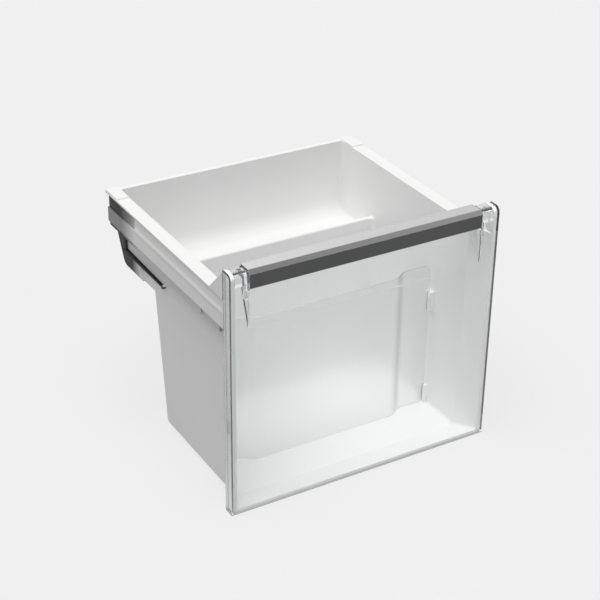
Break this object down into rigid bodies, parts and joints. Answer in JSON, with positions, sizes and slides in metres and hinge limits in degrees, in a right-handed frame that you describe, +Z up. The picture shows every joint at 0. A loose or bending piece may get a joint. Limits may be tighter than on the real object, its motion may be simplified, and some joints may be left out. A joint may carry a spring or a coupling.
{
  "type": "refrigerator drawer",
  "caption": "Deep pull-out fresh-food drawer: white tub with a raised rear shelf, clear front panel with a hooked handle bar, lift-out bottle divider and roller carriages.",
  "frame": {"origin": "on the ground under the middle of the drawer's bounding box", "axes": "+Z up, the clear front panel faces -Y, +X to the right seen from the front"},
  "size_m": [0.466, 0.432, 0.415],
  "materials": {
    "white_plastic": "satin",
    "clear_plastic": "clear polished",
    "divider_plastic": "clear, finely frosted",
    "milky_plastic": "milky",
    "handle_metal": "satin",
    "inlay_dark": "satin",
    "glide_grey": "satin",
    "carriage_dark": "satin",
    "roller_plastic": "satin",
    "pin_steel": "satin"
  },
  "bodies": {
    "drawer": {"tub": "white_plastic", "front_panel": "clear_plastic", "handle_bar": "handle_metal", "handle_inlay": "inlay_dark", "handle_clips": "milky_plastic", "handle_end_left": "clear_plastic", "side_rail_left": "white_plastic", "glide_strip_left": "glide_grey", "carriage_left": "carriage_dark", "carriage_rivets_left": "pin_steel", "roller_pins_left": "pin_steel", "rim_end_left": "white_plastic", "panel_snap_left": "milky_plastic", "divider_clip_lower_left": "milky_plastic", "divider_clip_upper_left": "milky_plastic", "handle_end_right": "clear_plastic", "side_rail_right": "white_plastic", "glide_strip_right": "glide_grey", "carriage_right": "carriage_dark", "carriage_rivets_right": "pin_steel", "roller_pins_right": "pin_steel", "rim_end_right": "white_plastic", "panel_snap_right": "milky_plastic", "divider_clip_lower_right": "milky_plastic", "divider_clip_upper_right": "milky_plastic"},
    "divider": {"bottle_divider": "divider_plastic"},
    "wheel_front_left": {"roller_front_left": "roller_plastic"},
    "wheel_rear_left": {"roller_rear_left": "roller_plastic"},
    "wheel_front_right": {"roller_front_right": "roller_plastic"},
    "wheel_rear_right": {"roller_rear_right": "roller_plastic"}
  },
  "joints": [
    {"name": "divider_lift", "type": "slide", "parent": "drawer", "child": "divider", "axis": [0, 0, 1], "range_m": [0, 0.367]},
    {"name": "roller_front_left_spin", "type": "hinge", "parent": "drawer", "child": "wheel_front_left", "pos_m": [-0.22035, 0.132, 0.317], "axis": [1, 0, 0], "continuous": true},
    {"name": "roller_rear_left_spin", "type": "hinge", "parent": "drawer", "child": "wheel_rear_left", "pos_m": [-0.22035, 0.19, 0.317], "axis": [1, 0, 0], "continuous": true},
    {"name": "roller_front_right_spin", "type": "hinge", "parent": "drawer", "child": "wheel_front_right", "pos_m": [0.22035, 0.132, 0.317], "axis": [1, 0, 0], "continuous": true},
    {"name": "roller_rear_right_spin", "type": "hinge", "parent": "drawer", "child": "wheel_rear_right", "pos_m": [0.22035, 0.19, 0.317], "axis": [1, 0, 0], "continuous": true}
  ]
}
